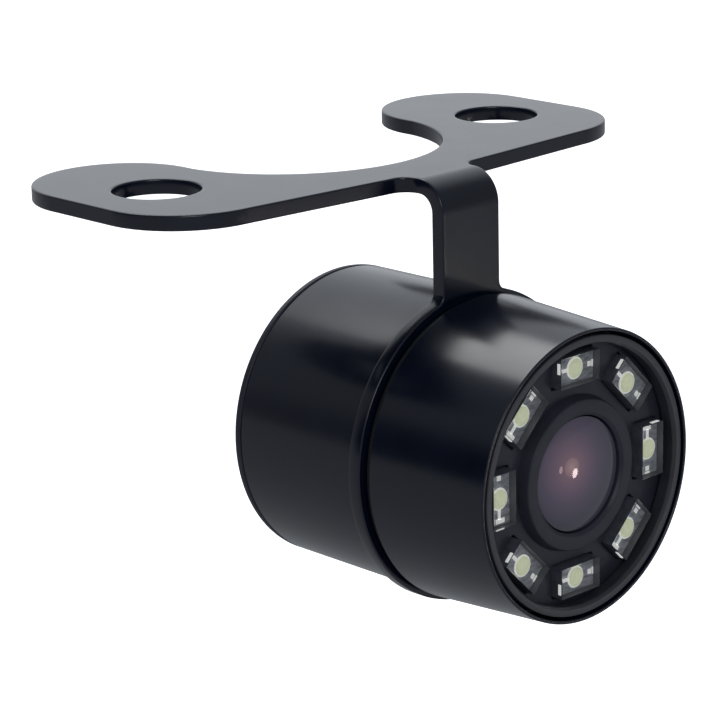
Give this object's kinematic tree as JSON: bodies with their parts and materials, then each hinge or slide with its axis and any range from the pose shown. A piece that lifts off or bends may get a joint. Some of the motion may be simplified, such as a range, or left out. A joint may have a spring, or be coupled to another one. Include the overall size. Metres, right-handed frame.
{
  "type": "reversing camera",
  "caption": "Round reversing camera with a ring of lamps around its lens, clamped in a folded butterfly bracket with two screw holes.",
  "frame": {"origin": "on the bracket's top face, on the centre plane, 10 mm ahead of the line through the two screw holes", "axes": "+Z is the outward normal of the mounting face, the lens looks along -Y, and +X runs along the line through the screw holes"},
  "size_m": [0.0548, 0.0409, 0.0365],
  "materials": {
    "black_coat": "satin black coating",
    "black_plastic": "smooth black moulding",
    "bezel_grey": "satin dark grey",
    "rubber": "matt",
    "circuit_board": "solder mask",
    "lamp": "clear block with a pale yellow dot",
    "lens_glass": "coated glass, purple brown",
    "filter_glass": "polished",
    "dark_metal": "black anodised",
    "steel": "bright",
    "brass": "bright",
    "chip": "moulded",
    "socket_white": "moulded nylon",
    "wire_red": "satin insulation",
    "wire_black": "satin insulation"
  },
  "bodies": {
    "bracket": {"bracket": "black_coat"},
    "camera": {"front_barrel": "black_coat", "clamp_washer": "rubber", "face_seal": "rubber", "bezel_ring": "bezel_grey", "lamp_mask": "black_plastic", "lamp_board": "circuit_board", "lamp_1": "lamp", "lamp_2": "lamp", "lamp_3": "lamp", "lamp_4": "lamp", "lamp_5": "lamp", "lamp_6": "lamp", "lamp_7": "lamp", "lamp_8": "lamp", "lamp_resistor_1": "chip", "lamp_resistor_2": "chip", "lens_holder": "black_plastic", "ir_filter": "filter_glass", "image_sensor": "chip", "sensor_board": "circuit_board", "video_chip": "chip", "clock_crystal": "steel", "holder_screw_1": "steel", "holder_screw_2": "steel", "board_spacer_1": "brass", "board_spacer_2": "brass", "board_spacer_3": "brass", "board_header": "chip", "power_board": "circuit_board", "voltage_regulator": "chip", "filter_capacitor": "steel", "power_inductor": "chip", "cable_socket": "socket_white", "lamp_wire_red": "wire_red", "lamp_wire_black": "wire_black"},
    "thread_seal": {"thread_seal": "rubber"},
    "rear_shell": {"rear_barrel": "black_coat", "rear_cap": "black_plastic", "cap_seal": "rubber", "cable_grommet": "rubber"},
    "lens_lock": {"lens_lock_ring": "dark_metal"},
    "lens": {"lens_barrel": "dark_metal", "front_lens": "lens_glass", "lens_spacer": "dark_metal", "middle_lens": "lens_glass", "aperture_stop": "dark_metal", "rear_lens": "lens_glass"}
  },
  "joints": [
    {"name": "camera_roll", "type": "hinge", "parent": "bracket", "child": "camera", "pos_m": [0, -0.0056, -0.0231], "axis": [0, 1, 0], "range_deg": [-180, 180]},
    {"name": "rear_shell_travel", "type": "slide", "parent": "camera", "child": "thread_seal", "axis": [0, 1, 0], "range_m": [0, 0.00225]},
    {"name": "rear_shell_turn", "type": "hinge", "parent": "thread_seal", "child": "rear_shell", "pos_m": [0, -0.0056, -0.0231], "axis": [0, 1, 0], "range_deg": [0, 1080]},
    {"name": "lens_travel", "type": "slide", "parent": "camera", "child": "lens_lock", "axis": [0, 1, 0], "range_m": [-0.00025, 0.00025]},
    {"name": "lens_turn", "type": "hinge", "parent": "lens_lock", "child": "lens", "pos_m": [0, -0.0056, -0.0231], "axis": [0, 1, 0], "range_deg": [-180, 180]}
  ],
  "couplings": [
    {"joint": "rear_shell_turn", "follows": "rear_shell_travel", "rad_per_m": 8377.6},
    {"joint": "lens_turn", "follows": "lens_travel", "rad_per_m": 12566}
  ]
}
